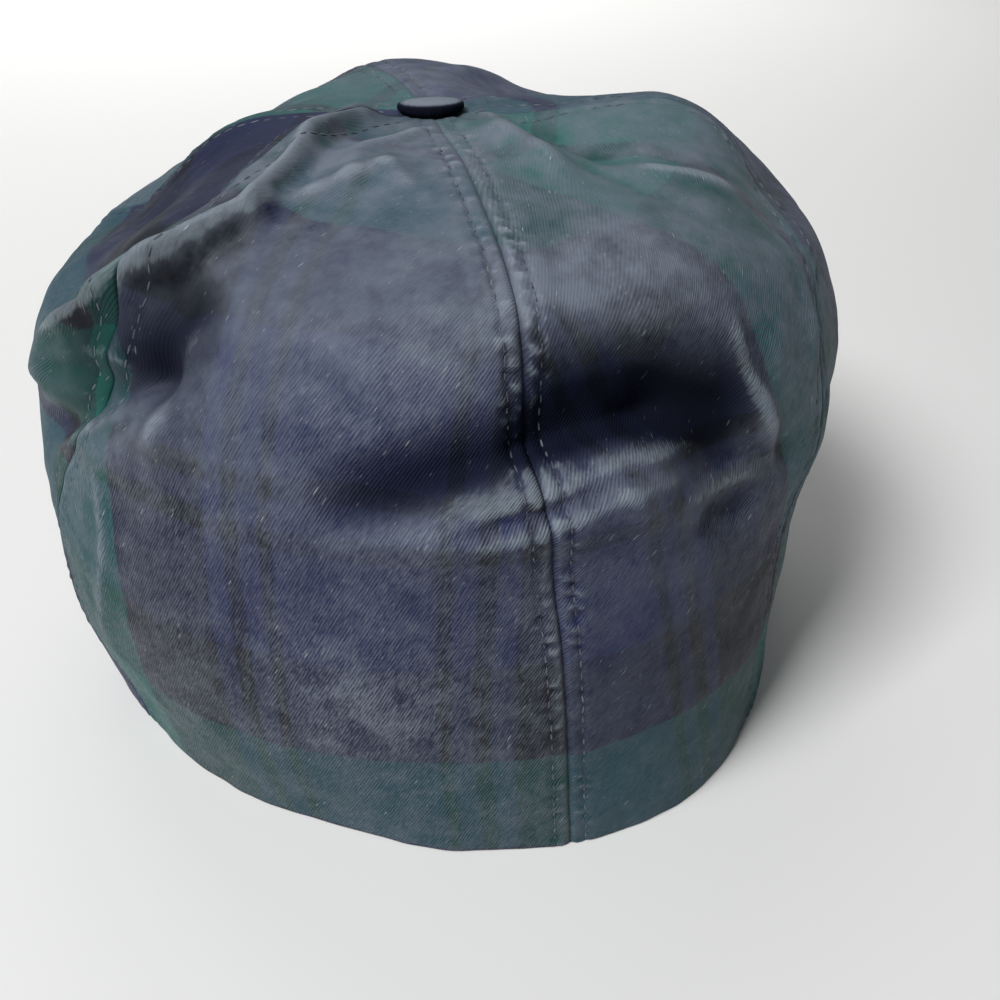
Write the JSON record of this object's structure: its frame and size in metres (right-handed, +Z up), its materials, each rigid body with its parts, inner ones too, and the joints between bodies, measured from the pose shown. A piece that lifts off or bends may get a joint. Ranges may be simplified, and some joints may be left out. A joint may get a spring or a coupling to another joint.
{
  "type": "tam o shanter cap",
  "caption": "Soft round cap sewn from tapering panels of waxed tartan cloth that meet under a covered button, with a deep slumped crown open below for the head.",
  "frame": {"origin": "centre of the cap's bounding box in plan, on the surface that the rim stands on", "axes": "+Z up from the rim to the crown, +Y towards the forehead, -Y towards the back, +X to the wearer's right"},
  "size_m": [0.1956, 0.2028, 0.1416],
  "materials": {
    "waxed_tartan": "waxed cotton twill in a dark blue, green and black tartan with a dull grey bloom",
    "button_cloth": "waxed cotton twill stretched over a button"
  },
  "bodies": {
    "root": {"panel_back_right": "waxed_tartan", "panel_right": "waxed_tartan", "panel_front_right": "waxed_tartan", "panel_front_left": "waxed_tartan", "panel_left": "waxed_tartan", "panel_back_left": "waxed_tartan", "button": "button_cloth"}
  },
  "joints": []
}
